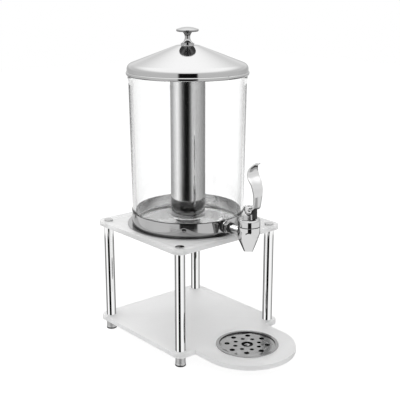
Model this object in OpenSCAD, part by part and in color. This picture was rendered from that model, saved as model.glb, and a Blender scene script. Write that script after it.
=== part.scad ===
// Cold drink dispenser: a clear tank standing in a steel pan on a four-legged acrylic stand,
// with an ice tube, a lift-off lid, a lever tap and a drip tray under the spout.
// Millimetres, +Z up, the tap towards -Y, the origin on the table under the middle of the outline.

/* [Stand] */
// Side of the square base plate and of the square top plate
plate_w = 256; // [248:1:290]
// Thickness of both plates
plate_t = 9; // [7:0.5:14]
// Corner radius of both plates
plate_r = 16; // [8:1:24]
// Distance from a leg's axis to the plate's edge
leg_inset = 17; // [14:0.5:20]
// Clear height between the plates
leg_h = 188.5; // [130:0.5:240]
// Outside diameter of a leg tube
leg_d = 19; // [16:0.5:24]
// Wall of a leg tube
leg_wall = 1.2; // [0.8:0.1:2]
// Length of the threaded plug pressed into each end of a leg
plug_h = 22; // [16:1:40]
// Diameter of the screws and studs that hold the legs
stud_d = 6; // [4:0.5:8]
// Diameter of the domed screw caps on the top plate
cap_d = 17; // [14:0.5:22]
// Height of the domed screw caps
cap_h = 2.2; // [1.5:0.1:4]
// Height of a foot with its pad
foot_h = 21; // [18:0.5:30]
// Diameter of a foot's base and of its pad
foot_d = 20; // [17:0.5:28]
// Thickness of the rubber pad under a foot
pad_t = 3; // [2:0.5:5]

/* [Drip tray] */
// Radius of the base plate's round tongue, which holds the tray
tongue_r = 90; // [75:1:100]
// Radius of the tray's flange
tray_r = 58; // [56:0.5:66]
// Outside radius of the tray's wall
cup_r = 53.5; // [48:0.5:55]
// Depth of the tray below the base plate's top face
cup_depth = 18; // [14:0.5:24]
// Sheet thickness of the tray
cup_sheet = 1.2; // [0.8:0.1:1.6]
// Width of the ledge that carries the grid
ledge_w = 3; // [2:0.25:5]
// Thickness of the grid
grid_t = 1.5; // [1:0.1:2]
// How far the grid lies below the flange's top face
grid_recess = 1.7; // [0.5:0.1:3]
// Holes in each of the grid's two rings
hole_count = 8; // [6:1:8]
// Radius of the inner ring of holes
inner_ring_r = 23.5; // [20:0.5:26]
// Diameter of the inner holes
inner_hole_d = 8; // [5:0.5:9]
// Radius of the outer ring of holes
outer_ring_r = 37.5; // [35:0.5:40]
// Diameter of the outer holes
outer_hole_d = 10; // [6:0.5:12]
// Diameter of the hole in the grid's centre
eye_d = 22; // [18:0.5:24]
// Diameter of the post's head, which stands in that hole
post_d = 10.5; // [8:0.5:13]

/* [Pan and tank] */
// Outside radius of the steel pan
pan_r = 108.5; // [104:0.5:110]
// Height of the pan
pan_h = 27; // [26:0.5:40]
// Sheet thickness of the pan
pan_sheet = 1.2; // [0.8:0.1:1.5]
// Radius of the pressed ring in the pan's floor
floor_ring_r = 86; // [60:1:92]
// Radius of the plain disc between the top plate and the pan
disc_r = 117.4; // [113:0.2:122]
// Thickness of that disc at its edge
disc_t = 1.4; // [1:0.1:3]
// How far the disc's middle is raised to carry the pan
seat_rise = 0.6; // [0.3:0.1:2]
// Wall of the clear tank
tank_wall = 5; // [3:0.25:6]
// Height of the clear tank
tank_h = 287.3; // [220:0.1:340]
// How much wider the tank is at its top than in the pan
tank_draft = 3.7; // [0:0.1:5]
// How far the tank's rim stands out
lip_t = 0.8; // [0.4:0.1:1.5]
// Height of the tank's rim
lip_h = 18; // [12:0.5:30]
// Thickness of the gasket under the tank
gasket_t = 2; // [1:0.25:3]

/* [Ice tube] */
// Outside radius of the ice tube
tube_r = 33; // [28:0.5:45]
// Wall of the ice tube
tube_wall = 1; // [0.8:0.1:2]
// Rounding of the tube's lower edge
tube_round = 4; // [3:0.25:8]
// How far the tube's top stays below the tank's rim
tube_drop = 9; // [2:0.5:40]
// Radius of the boss under the tube
boss_r = 24; // [16:0.5:26]
// Height of that boss
boss_h = 7.5; // [5:0.5:14]
// Thickness of the two flat seals on the centre bolt
seal_t = 1.5; // [1:0.1:2.5]
// Diameter of the centre bolt
bolt_d = 8; // [6:0.5:10]

/* [Lid] */
// Slope of the lid's cone, in degrees
cone_a = 20.8; // [15:0.1:26]
// Radius of the lid's shoulder
shoulder_r = 11; // [9:0.5:14]
// Radius of the flat on the lid's top
flat_r = 22; // [16:0.5:30]
// Sheet thickness of the lid
lid_sheet = 1; // [0.8:0.1:1.2]
// How far the lid's skirt reaches below the tank's rim
overlap_h = 6.8; // [6:0.1:12]
// Height of the skirt above the tank's rim
skirt_rise = 4.5; // [3:0.1:8]
// Radius of the bead rolled round the skirt's edge
bead_r = 2.2; // [1.6:0.1:2.6]
// Height of the knob
knob_h = 32.5; // [30:0.5:45]
// Radius of the knob's disc
knob_r = 21; // [17:0.5:26]
// Radius of the knob's foot
knob_foot_r = 12.6; // [11:0.1:15]
// Radius of the knob's waist
waist_r = 5; // [4.2:0.1:6]
// Diameter of the knob's screw
knob_screw_d = 4.8; // [4:0.1:5]

/* [Tap] */
// Distance from the tank's axis to the tap's axis
tap_reach = 171; // [164:1:185]
// Height of the shank's axis above the pan's underside
shank_up = 15; // [14.5:0.1:16]
// Outside diameter of the shank
shank_d = 14; // [12:0.25:15]
// Bore of the shank
shank_bore = 10; // [7:0.25:10.5]
// Radius of the collar and the washer on the pan's outside
collar_r = 12.2; // [10.5:0.1:12.4]
// Width of the two hexagon nuts across flats
nut_af = 21; // [19:0.5:22]
// Length of each nut on the shank
nut_h = 7.5; // [5:0.5:10]
// Radius of the tap body where the bonnet sits
body_r = 20.5; // [19:0.25:23]
// Outside radius of the spout's mouth, at its round back
spout_r = 9.5; // [8.5:0.25:10.5]
// Height of the spout's taper
taper_h = 24.5; // [21:0.5:28]
// Distance from the spout's axis to its two flat faces, at the mouth
face_in = 7.2; // [6.8:0.05:8]
// Lean of the flat faces, in degrees
face_a = 19.5; // [18:0.25:21]
// Radius of the spout's bore
outlet_r = 5; // [4:0.25:5.5]
// Height of the shank's axis above the spout's mouth
spout_drop = 31.5; // [28:0.5:45]
// Height of the bonnet's seat above the shank's axis
body_rise = 15.2; // [14:0.1:20]
// Height of the bonnet
bonnet_h = 13.5; // [12.5:0.25:16]
// Rounding of the bonnet's shoulder
bonnet_round = 5.5; // [4:0.25:6]
// Diameter of the valve's stem
stem_d = 6; // [5:0.25:6.5]
// Turns of the return spring
spring_turns = 7; // [5:1:9]
// Diameter of the spring's wire
wire_d = 1.3; // [0.8:0.1:1.6]

/* [Lever] */
// Height of the lever's pin above the bonnet
cam_h = 14; // [13:0.25:15.5]
// Lift of the valve when the lever is pulled right over
lift = 4.4; // [3.4:0.1:4.8]
// Pull of the lever from rest to its stop, in degrees
pull_a = 24; // [20:0.5:26]
// Diameter of the lever's pin
pin_d = 2.5; // [2:0.1:3]
// Radius of the lever's round hub
hub_r = 9.6; // [9:0.1:9.8]
// Thickness of the lever's blade
blade_t = 2.6; // [2:0.1:4]
// Radius of the blade's forward bulge
bulge_r = 44; // [36:0.5:52]
// Radius of the curl at the blade's tip
curl_r = 18; // [14:0.5:22]
// Width of the blade's neck
neck_w = 18.4; // [15:0.2:20]
// Greatest width of the blade
leaf_w = 28.4; // [22:0.2:34]

/* [Clearances] */
// Gap round pieces that lift out or drop over another
lift_gap = 0.5; // [0.3:0.05:0.8]
// Gap round fasteners and pieces that stay put
fit_gap = 0.3; // [0.2:0.05:0.5]
// Radial gap of turned fits and of threads drawn plain
run_gap = 0.05; // [0.02:0.01:0.1]
// Gap between the lever's cam and the bonnet
cam_gap = 0.12; // [0.08:0.01:0.3]

/* [Hidden] */
$fn = 96;
far = 400;

// Stand
base_top = foot_h + plate_t;
deck_z = base_top + leg_h;
deck_top = deck_z + plate_t;
leg_x = plate_w / 2 - leg_inset;
tank_y = (tap_reach + tongue_r - plate_w / 2) / 2;
tap_y = tank_y - tap_reach;
stud_r = stud_d / 2;
screw_bite = 16;
foot_bite = 10;
foot_ring_h = 2;
foot_ring_w = 0.6;

// Drip tray
flange_z = base_top + cup_sheet;
ledge_z = flange_z - grid_recess - grid_t;
cup_z = base_top - cup_depth;
ledge_r = cup_r - cup_sheet - ledge_w;
cup_round = 3;
post_stem_r = 3.5;
post_foot_r = 7;
post_foot_h = 2;
post_head_h = 3.5;
post_rise = 1;

// Pan and tank
seat_z = deck_top + disc_t + seat_rise;
rim_z = seat_z + pan_h;
floor_z = seat_z + pan_sheet;
pan_round = 3.5;
floor_ring_h = 0.8;
tank_r = pan_r - pan_sheet - fit_gap;
tank_z = floor_z + gasket_t;
tank_top = tank_z + tank_h;
tank_top_r = tank_r + tank_draft;
tank_foot_cut = 2.5;
lip_z = tank_top - lip_h;

// Ice tube and centre bolt
boss_z = floor_z + seal_t;
tube_z = boss_z + boss_h;
tube_top = tank_top - tube_drop;
tube_end_rise = 4;
tube_end_h = tube_round + tube_end_rise;
bolt_r = bolt_d / 2;
bolt_head_z = tube_z + tube_wall + seal_t;
bolt_head_h = 0.65 * bolt_d;
bolt_af = 1.6 * bolt_d;
bolt_nut_h = 0.8 * bolt_d;
bolt_end = 3;
washer_t = 1.6;
washer_r = 2.6 * bolt_r;

// Lid
lid_r = tank_top_r + lip_t + lift_gap + lid_sheet;
lid_z = tank_top - overlap_h;
shoulder_z = tank_top + skirt_rise;
arc_x = lid_r - shoulder_r;
lid_top = shoulder_z + shoulder_r * cos(cone_a)
    + (arc_x + shoulder_r * sin(cone_a) - flat_r) * tan(cone_a);
lid_gasket_h = 8;
knob_pad_t = 0.8;
knob_z = lid_top + knob_pad_t;
knob_foot_h = 3.2;
knob_step = 0.4;
knob_pad_in = 0.6;
knob_edge_r = 2.5;
knob_dome_h = 3.4;
waist_z = 14;
waist_curve = 12;
under_r = 8.6;
under_z = 23;
column_r = 10;
screw_head_r = 4.5;
screw_head_h = 3;
screw_washer_r = 7;
screw_washer_t = 1;
knob_bite = 10;
screw_end = 0.5;

// Tap
shank_z = seat_z + shank_up;
shank_r = shank_d / 2;
saddle_t = 3;
collar_t = 3;
ring_t = 2.5;
ring_w = 2.5;
ring_r = shank_r + ring_w;
inner_step = 0.7;
inner_washer_r = collar_r - inner_step;
inner_washer_t = 3.5;
tank_in_r = tank_r - tank_wall;
shank_end = 1;
shank_in = tank_in_r - inner_washer_t - nut_h - shank_end;
body_wall = 9;
chamber_r = body_r - body_wall;
joint_w = 5;
thread_r = body_r - joint_w;
thread_h = 8;
spout_z = shank_z - spout_drop;
joint_z = shank_z + body_rise;
valve_drop = 12;
valve_z = shank_z - valve_drop;
tap_boss_w = 3;
tap_boss_r = shank_r + tap_boss_w;
tap_boss_rise = 2;
tap_boss_y = body_r + tap_boss_rise;
shank_short = 0.5;
shank_out = tap_reach - chamber_r - shank_short;
joint_seal_t = 0.8;
joint_seal_w = 0.6;
bonnet_z = joint_z + joint_seal_t;
bonnet_top = bonnet_z + bonnet_h;
crown_t = 8;
well_r = 8;
stem_r = stem_d / 2;
gland_t = 2;
gland_r = stem_r + run_gap + gland_t;
gland_depth = 5;
gland_z = bonnet_top - gland_depth;
plug_r = 9;
valve_plug_h = 7.5;
plug_top = valve_z + valve_plug_h;
nose_h = 3;
stem_up = 1;
stem_foot = valve_z + stem_up;
stem_flange_t = 2;
stem_flange_w = 4;
stem_flange_r = stem_r + stem_flange_w;
wire_r = wire_d / 2;
coil_r = (stem_r + well_r) / 2;
spring_low = plug_top + stem_flange_t + wire_r + run_gap;
spring_high = bonnet_top - crown_t - wire_r - run_gap;

// Lever: the cam's radius grows by cam_k for each radian, so the valve rises evenly
pin_z = bonnet_top + cam_h;
pin_r = pin_d / 2;
cam_k = lift / (pull_a * PI / 180);
cam_steps = 9;
slot_w = stem_d + 2 * fit_gap;
heel_w = 6;
heel_gap = 0.6;
hub_rise = 8;
dish_wall = 2;
dish_r = hub_r - dish_wall;
dish_h = 2;
hub_edge = 1;
blade_bite = 0.5;
pin_l = 2 * (hub_r - fit_gap);
blade_reach = 20.6;
bulge_z = 32;
root_a = -80;
root_l = 8;
bend_r = 7;
low_r = 90;
low_a = -14.5;
turn_a = 39;
curl_a = 122;
heel_toe = [0.3, 2];
heel_rise = 8;
bend_steps = 12;
bulge_c = [blade_reach - bulge_r, bulge_z];
low_c = [blade_reach - low_r, bulge_z];
bend_c = low_c + (low_r - bend_r) * [cos(low_a), sin(low_a)];
curl_c = bulge_c + (bulge_r + curl_r) * [cos(turn_a), sin(turn_a)];
leaf_z = 61;
leaf_tip = 31;
neck_z = 18;
flank_z = 50;
flank_drop = 1.6;

// Places

module at_tank() translate([0, tank_y, 0]) children();

module at_tap() translate([0, tap_y, 0]) children();

module at_leg(sx, sy) translate([sx * leg_x, tank_y + sy * leg_x, 0]) children();

module at_legs() for (sx = [-1, 1], sy = [-1, 1]) at_leg(sx, sy) children();

// Local +Z runs from the tank's axis out along the shank
module along_shank(from) translate([0, tank_y, shank_z]) rotate([90, 0, 0])
    translate([0, 0, from]) children();

// The lever's pin: local X along the pin, as in the whole model
module at_pin() translate([0, tap_y, pin_z]) children();

// Lays a drawing of (forward, up) in the lever's plane and gives it width w along X
module across(w) rotate([90, 0, -90]) translate([0, 0, -w / 2]) linear_extrude(w) children();

// Shapes

module tube(r, bore, h) difference() {
    cylinder(r = r, h = h);
    translate([0, 0, -1]) cylinder(r = bore, h = h + 2);
}

// Hexagon with its corners turned off at both ends
module hexagon(af, h) intersection() {
    corner_r = af / cos(30) / 2;
    turn_h = (corner_r - af / 2) * tan(30);
    cylinder(r = corner_r, h = h, $fn = 6);
    rotate_extrude() polygon([[0, 0], [af / 2, 0], [corner_r, turn_h],
        [corner_r, h - turn_h], [af / 2, h], [0, h]]);
}

// Half section of a dish: radius r, height h, lower edge rounded by c
module dish(r, h, c) {
    translate([0, c]) square([r, h - c]);
    square([r - c, h]);
    intersection() {
        translate([r - c, c]) circle(c);
        square([r, c]);
    }
}

// Half section of a shallow dome of radius r and height h
module dome(r, h) {
    curve = (r * r + h * h) / (2 * h);
    intersection() {
        translate([0, h - curve]) circle(curve);
        square([r, h]);
    }
}

// Plate with round corners, centred
module plate_shape() {
    square([plate_w, plate_w - 2 * plate_r], center = true);
    square([plate_w - 2 * plate_r, plate_w], center = true);
    for (sx = [-1, 1], sy = [-1, 1]) translate([sx, sy] * (plate_w / 2 - plate_r)) circle(plate_r);
}

// Stand

module base_plate() color("whitesmoke") difference() {
    translate([0, 0, foot_h]) linear_extrude(plate_t) {
        translate([0, tank_y]) plate_shape();
        translate([0, tap_y]) circle(tongue_r);
        translate([-tongue_r, tap_y]) square([2 * tongue_r, tap_reach]);
    }
    at_legs() cylinder(r = stud_r + fit_gap, h = far);
    at_tap() cylinder(r = cup_r + lift_gap, h = far);
}

module top_plate() color("whitesmoke") difference() {
    at_tank() translate([0, 0, deck_z]) linear_extrude(plate_t) plate_shape();
    at_legs() cylinder(r = stud_r + fit_gap, h = far);
    at_tank() cylinder(r = bolt_r + fit_gap, h = far);
}

module leg(sx, sy) color("gainsboro") at_leg(sx, sy)
    translate([0, 0, base_top]) tube(leg_d / 2, leg_d / 2 - leg_wall, leg_h);

module foot(sx, sy) color("darkgray") at_leg(sx, sy) difference() {
    union() {
        translate([0, 0, pad_t]) cylinder(d = foot_d, h = foot_ring_h);
        translate([0, 0, pad_t]) cylinder(r = foot_d / 2 - foot_ring_w, h = foot_h - pad_t);
    }
    translate([0, 0, foot_h - foot_bite]) cylinder(r = stud_r + run_gap, h = far);
}

module pad(sx, sy) color("black") at_leg(sx, sy) cylinder(d = foot_d, h = pad_t);

module leg_plugs() color("silver") at_legs() for (z = [base_top, deck_z - plug_h])
    translate([0, 0, z]) tube(leg_d / 2 - leg_wall - run_gap, stud_r + run_gap, plug_h);

module top_screws() color("gainsboro") at_legs() {
    translate([0, 0, deck_top]) rotate_extrude() {
        square([cap_d / 2, cap_h / 3]);
        translate([0, cap_h / 3]) dome(cap_d / 2, cap_h * 2 / 3);
    }
    translate([0, 0, deck_z - screw_bite]) cylinder(r = stud_r, h = screw_bite + plate_t);
}

module foot_studs() color("silver") at_legs()
    translate([0, 0, foot_h - foot_bite]) cylinder(r = stud_r, h = foot_bite + plate_t + screw_bite);

// Drip tray

module drip_cup() color("lightgray") at_tap() rotate_extrude() difference() {
    union() {
        translate([0, base_top]) square([tray_r - cup_sheet / 2, cup_sheet]);
        translate([tray_r - cup_sheet / 2, base_top + cup_sheet / 2]) circle(cup_sheet / 2);
        translate([0, ledge_z - cup_sheet]) square([cup_r, base_top - ledge_z + cup_sheet]);
        translate([0, cup_z]) dish(ledge_r + cup_sheet, ledge_z - cup_z, cup_round);
    }
    translate([0, ledge_z]) square([cup_r - cup_sheet, far]);
    translate([0, cup_z + cup_sheet]) dish(ledge_r, far, cup_round - cup_sheet);
}

module cup_post() color("lightgray") at_tap() rotate_extrude() {
    head_z = ledge_z + grid_t + post_rise - post_head_h;
    translate([0, cup_z + cup_sheet]) square([post_foot_r, post_foot_h]);
    translate([0, cup_z + cup_sheet]) square([post_stem_r, head_z - cup_z - cup_sheet]);
    translate([0, head_z]) square([post_d / 2, post_head_h / 2]);
    translate([0, head_z + post_head_h / 2]) dome(post_d / 2, post_head_h / 2);
}

module hole_ring(ring, d, offset_a) for (i = [0:hole_count - 1])
    rotate(offset_a + i * 360 / hole_count) translate([ring, 0]) circle(d = d);

module drip_grid() color("silver") at_tap() translate([0, 0, ledge_z])
    linear_extrude(grid_t) difference() {
        circle(cup_r - cup_sheet - lift_gap);
        circle(d = eye_d);
        hole_ring(outer_ring_r, outer_hole_d, 0);
        hole_ring(inner_ring_r, inner_hole_d, 180 / hole_count);
    }

// Pan and tank

// A plain disc with a round edge, raised in the middle so that the pan's lower edge stands clear of it
module base_disc() color("lightgray") at_tank() translate([0, 0, deck_top]) rotate_extrude() difference() {
    union() {
        square([disc_r - disc_t / 2, disc_t]);
        translate([disc_r - disc_t / 2, disc_t / 2]) circle(disc_t / 2);
        square([pan_r - pan_round, disc_t + seat_rise]);
    }
    square([bolt_r + fit_gap, far]);
}

module pan() color("lightgray") difference() {
    at_tank() rotate_extrude() difference() {
        union() {
            difference() {
                translate([0, seat_z]) dish(pan_r, pan_h - pan_sheet / 2, pan_round);
                translate([0, floor_z]) dish(pan_r - pan_sheet, far, pan_round - pan_sheet);
            }
            translate([pan_r - pan_sheet / 2, rim_z - pan_sheet / 2]) circle(pan_sheet / 2);
            translate([floor_ring_r, floor_z]) intersection() {
                circle(floor_ring_h);
                translate([-floor_ring_h, -floor_ring_h / 2]) square(2 * floor_ring_h);
            }
        }
        square([bolt_r + fit_gap, far]);
    }
    along_shank(0) cylinder(r = shank_r + fit_gap, h = far);
}

module container_gasket() color("white") at_tank()
    translate([0, 0, floor_z]) tube(tank_r - tank_foot_cut, tank_in_r, gasket_t);

module container() color("aliceblue", 0.3) difference() {
    at_tank() rotate_extrude() polygon([
        [tank_in_r, tank_z], [tank_r - tank_foot_cut, tank_z], [tank_r, tank_z + tank_foot_cut],
        [tank_r, rim_z], [tank_top_r, lip_z], [tank_top_r + lip_t, lip_z + lip_t],
        [tank_top_r + lip_t, tank_top], [tank_top_r - tank_wall, tank_top],
        [tank_top_r - tank_wall, lip_z], [tank_in_r, rim_z]
    ]);
    along_shank(0) cylinder(r = shank_r + fit_gap, h = far);
}

// Ice tube and centre bolt

module boss_seal() color("white") at_tank()
    translate([0, 0, floor_z]) tube(boss_r, bolt_r + fit_gap, seal_t);

module tube_boss() color("lightgray") at_tank()
    translate([0, 0, boss_z]) tube(boss_r, bolt_r + fit_gap, boss_h);

module ice_tube() color("silver") at_tank()
    translate([0, 0, tube_z + tube_end_h]) tube(tube_r, tube_r - tube_wall, tube_top - tube_z - tube_end_h);

// The pressed end welded into the bottom of the tube
module tube_end() color("silver") at_tank() rotate_extrude() difference() {
    translate([0, tube_z]) dish(tube_r, tube_end_h, tube_round);
    translate([0, tube_z + tube_wall]) dish(tube_r - tube_wall, far, tube_round - tube_wall);
    square([bolt_r + fit_gap, far]);
}

module bolt_seal() color("white") at_tank()
    translate([0, 0, tube_z + tube_wall]) tube(washer_r, bolt_r + run_gap, seal_t);

module centre_bolt() color("silver") at_tank() {
    low = deck_z - washer_t - bolt_nut_h - bolt_end;
    translate([0, 0, bolt_head_z]) hexagon(bolt_af, bolt_head_h);
    translate([0, 0, low]) cylinder(r = bolt_r, h = bolt_head_z - low);
}

module centre_washer() color("silver") at_tank()
    translate([0, 0, deck_z - washer_t]) tube(washer_r, bolt_r + fit_gap, washer_t);

module centre_nut() color("silver") at_tank()
    translate([0, 0, deck_z - washer_t - bolt_nut_h]) difference() {
        hexagon(bolt_af, bolt_nut_h);
        cylinder(r = bolt_r + run_gap, h = far);
    }

// Lid

// Half section of all that lies under the lid's outer face, drawn in by d and reaching down to low
module lid_section(d, low) {
    arc = shoulder_r - d;
    foot_x = arc_x + arc * sin(cone_a);
    foot_z = shoulder_z + arc * cos(cone_a);
    top = lid_top - d;
    translate([0, low]) square([lid_r - d, shoulder_z - low]);
    intersection() {
        translate([arc_x, shoulder_z]) circle(arc);
        translate([arc_x, shoulder_z]) square(shoulder_r);
    }
    polygon([[0, shoulder_z], [arc_x, shoulder_z], [foot_x, foot_z],
        [foot_x - (top - foot_z) / tan(cone_a), top], [0, top]]);
}

// The cone with its round shoulder
module lid_shell() color("gainsboro") at_tank() rotate_extrude() difference() {
    lid_section(0, lid_z);
    lid_section(lid_sheet, lid_z - far);
    square([2 * lid_r, shoulder_z]);
    square([knob_screw_d / 2 + fit_gap, 2 * far]);
}

// The upright rim welded on under the shoulder, with a bead rolled round its edge
module lid_rim() color("gainsboro") at_tank() rotate_extrude() {
    translate([lid_r - lid_sheet, lid_z]) square([lid_sheet, shoulder_z - lid_z]);
    difference() {
        union() {
            for (z = [bead_r, overlap_h - bead_r])
                translate([lid_r - lid_sheet / 2, lid_z + z]) circle(bead_r);
            translate([lid_r - lid_sheet / 2, lid_z + bead_r]) square([bead_r, overlap_h - 2 * bead_r]);
        }
        square([lid_r - lid_sheet, 2 * far]);
    }
}

module lid_gasket() color("white") at_tank() rotate_extrude() intersection() {
    lid_section(lid_sheet + run_gap, lid_z);
    translate([tank_top_r - tank_wall, tank_top]) square([tank_wall + lip_t + lift_gap, lid_gasket_h]);
}

module knob_pad() color("white") at_tank()
    translate([0, 0, lid_top]) tube(knob_foot_r - knob_pad_in, knob_screw_d / 2 + fit_gap, knob_pad_t);

module lid_knob() color("gainsboro") at_tank() translate([0, 0, knob_z]) rotate_extrude() difference() {
    edge_x = knob_r - knob_edge_r;
    edge_z = knob_h - knob_dome_h - knob_edge_r;
    union() {
        translate([0, knob_foot_h / 2]) square([knob_foot_r, knob_foot_h / 2 - knob_step]);
        square([knob_foot_r - knob_step, knob_foot_h]);
        difference() {
            square([column_r, edge_z]);
            translate([waist_r + waist_curve, waist_z]) circle(waist_curve);
        }
        polygon([[0, under_z], [under_r, under_z], [edge_x, edge_z - knob_edge_r],
            [edge_x, edge_z + knob_edge_r], [0, edge_z + knob_edge_r]]);
        translate([edge_x, edge_z]) circle(knob_edge_r);
        translate([0, edge_z + knob_edge_r]) dome(edge_x, knob_dome_h);
    }
    square([knob_screw_d / 2 + run_gap, knob_bite]);
}

module knob_screw() color("silver") at_tank() {
    head_top = lid_top - lid_sheet - screw_washer_t;
    screw_top = knob_z + knob_bite - screw_end;
    translate([0, 0, head_top - screw_head_h]) cylinder(r = screw_head_r, h = screw_head_h);
    translate([0, 0, head_top]) cylinder(d = knob_screw_d, h = screw_top - head_top);
}

module screw_washer() color("silver") at_tank()
    translate([0, 0, lid_top - lid_sheet - screw_washer_t])
        tube(screw_washer_r, knob_screw_d / 2 + fit_gap, screw_washer_t);

// Shank and what clamps it in the pan and the tank

module shank() color("gainsboro")
    along_shank(shank_in) tube(shank_r, shank_bore / 2, shank_out - shank_in);

module outer_washer() color("black") difference() {
    along_shank(pan_r - saddle_t) tube(collar_r, shank_r + run_gap, 2 * saddle_t);
    at_tank() cylinder(r = pan_r + run_gap, h = far, $fn = 720);
}

module shank_collar() color("gainsboro")
    along_shank(pan_r + saddle_t) tube(collar_r, shank_r + run_gap, collar_t);

module nut(from) along_shank(from) difference() {
    rotate(30) hexagon(nut_af, nut_h);
    translate([0, 0, -1]) cylinder(r = shank_r + run_gap, h = nut_h + 2);
}

module lock_nut() color("gainsboro") nut(pan_r + saddle_t + collar_t);

module shank_ring() color("black")
    along_shank(pan_r + saddle_t + collar_t + nut_h) tube(ring_r, shank_r + run_gap, ring_t);

module inner_washer() color("white") intersection() {
    along_shank(tank_in_r - inner_washer_t) tube(inner_washer_r, shank_r + run_gap, 2 * inner_washer_t);
    at_tank() cylinder(r = tank_in_r - run_gap, h = far, $fn = 720);
}

module inner_nut() color("gainsboro") nut(tank_in_r - inner_washer_t - nut_h);

// Tap

module tap_body() color("gainsboro") difference() {
    union() {
        at_tap() rotate_extrude() polygon([[0, spout_z], [spout_r, spout_z],
            [body_r, spout_z + taper_h], [body_r, joint_z], [0, joint_z]]);
        along_shank(tap_reach - tap_boss_y) cylinder(r = tap_boss_r, h = tap_boss_y);
    }
    at_tap() {
        for (a = [-45, 45]) rotate(a) translate([0, -face_in, spout_z]) rotate([face_a, 0, 0])
            translate([-far / 2, -far, -far / 2]) cube(far);
        translate([0, 0, spout_z - 1]) cylinder(r = outlet_r, h = far);
        translate([0, 0, valve_z]) cylinder(r = chamber_r, h = far);
        translate([0, 0, joint_z - thread_h]) cylinder(r = thread_r, h = far);
    }
    along_shank(tap_reach - tap_boss_y - 1)
        cylinder(r = shank_r + run_gap, h = tap_boss_y + 1 - chamber_r / 2);
}

module joint_seal() color("black") at_tap()
    translate([0, 0, joint_z]) tube(body_r - joint_seal_w, thread_r + run_gap, joint_seal_t - run_gap);

module tap_bonnet() color("gainsboro") at_tap() rotate_extrude() difference() {
    union() {
        translate([0, bonnet_top]) mirror([0, 1]) dish(body_r, bonnet_h, bonnet_round);
        translate([0, joint_z - thread_h]) square([thread_r - run_gap, thread_h + joint_seal_t]);
    }
    square([well_r, bonnet_top - crown_t]);
    square([stem_r + run_gap, far]);
    translate([0, gland_z]) square([gland_r, gland_t]);
}

module stem_ring() color("black") at_tap() rotate_extrude()
    translate([stem_r + run_gap + gland_t / 2, gland_z + gland_t / 2]) circle(gland_t / 2 - run_gap);

module valve_stem() color("silver") difference() {
    at_tap() {
        translate([0, 0, stem_foot]) cylinder(r = stem_r, h = pin_z - stem_foot);
        translate([0, 0, plug_top]) cylinder(r = stem_flange_r, h = stem_flange_t);
        intersection() {
            translate([0, 0, pin_z - 1]) cylinder(r = stem_r, h = stem_d);
            translate([0, 0, pin_z]) rotate([0, 90, 0]) cylinder(r = stem_r, h = stem_d, center = true);
        }
    }
    at_pin() rotate([0, 90, 0]) cylinder(r = pin_r + run_gap, h = far, center = true);
}

module valve_plug() color("white") at_tap() rotate_extrude() difference() {
    union() {
        translate([0, valve_z]) square([plug_r, plug_top - valve_z]);
        translate([0, valve_z - nose_h]) dish(outlet_r - lift_gap, nose_h + 1, nose_h / 2);
    }
    translate([0, stem_foot]) square([stem_r + run_gap, far]);
}

// One unbroken tube of six sides, with eight rings to each turn
spring_rings = 8 * spring_turns;
spring_path = [for (i = [0:spring_rings])
    let (a = 45 * i, z = spring_low + (spring_high - spring_low) * i / spring_rings)
    [coil_r * cos(a), coil_r * sin(a), z]];
spring_points = [for (i = [0:spring_rings], j = [0:5])
    let (a = 45 * i, r = coil_r + wire_r * cos(60 * j))
    [r * cos(a), r * sin(a), spring_path[i][2] + wire_r * sin(60 * j)]];
spring_sides = [for (i = [0:spring_rings - 1], j = [0:5])
    let (a = 6 * i + j, b = 6 * i + (j + 1) % 6) each [[a, b + 6, b], [a, a + 6, b + 6]]];
spring_ends = [for (j = [1:4]) each [[0, j, j + 1],
    [6 * spring_rings, 6 * spring_rings + j + 1, 6 * spring_rings + j]]];
spring_gap = min([for (i = [0:spring_rings - 8], k = [7:9]) if (i + k <= spring_rings)
    norm(spring_path[i] - spring_path[i + k])]) - wire_d;
echo(spring_gap = spring_gap);

module return_spring() color("silver") at_tap()
    polyhedron(points = spring_points, faces = concat(spring_sides, spring_ends));

// Lever

// Point of the cam that meets the bonnet when the lever is pulled by a, as [forward, up] of the pin
function cam_point(a) = let (p = cam_h - cam_gap + cam_k * a * PI / 180)
    [p * sin(a) + cam_k * cos(a), -p * cos(a) + cam_k * sin(a)];

// Points on an arc of radius r about c, from angle a to angle b, starting with step first
function arc(c, r, a, b, first = 0) = [for (i = [first:bend_steps])
    let (turn = a + (b - a) * i / bend_steps) c + r * [cos(turn), sin(turn)]];

// One face of the blade, t in front of its middle: a straight root, a bend, a forward bulge and a curl
function blade_face(t) = concat(
    [bend_c + (bend_r + t) * [cos(root_a), sin(root_a)] + root_l * [sin(root_a), -cos(root_a)]],
    arc(bend_c, bend_r + t, root_a, low_a), arc(low_c, low_r + t, low_a, 0, 1),
    arc(bulge_c, bulge_r + t, 0, turn_a, 1),
    arc(curl_c, curl_r - t, 180 + turn_a, 180 + turn_a - curl_a, 1));

function backwards(v) = [for (i = [len(v) - 1:-1:0]) v[i]];

// The blade seen from the side
module blade_side() polygon(concat(blade_face(blade_t / 2), backwards(blade_face(-blade_t / 2))));

// The blade seen from the front: a straight neck that opens into a pointed leaf
module blade_front() {
    half = leaf_w / 2;
    curve = (leaf_tip ^ 2 + half ^ 2) / leaf_w;
    intersection_for (s = [-1, 1]) translate([s * (curve - half), leaf_z]) circle(curve, $fn = 180);
    polygon([[-neck_w / 2, -cam_h], [neck_w / 2, -cam_h], [neck_w / 2, neck_z],
        [half - flank_drop, flank_z], [flank_drop - half, flank_z], [-neck_w / 2, neck_z]]);
}

module blade() intersection() {
    across(2 * leaf_w) blade_side();
    rotate([90, 0, 0]) translate([0, 0, -far / 2]) linear_extrude(far) blade_front();
}

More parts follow.
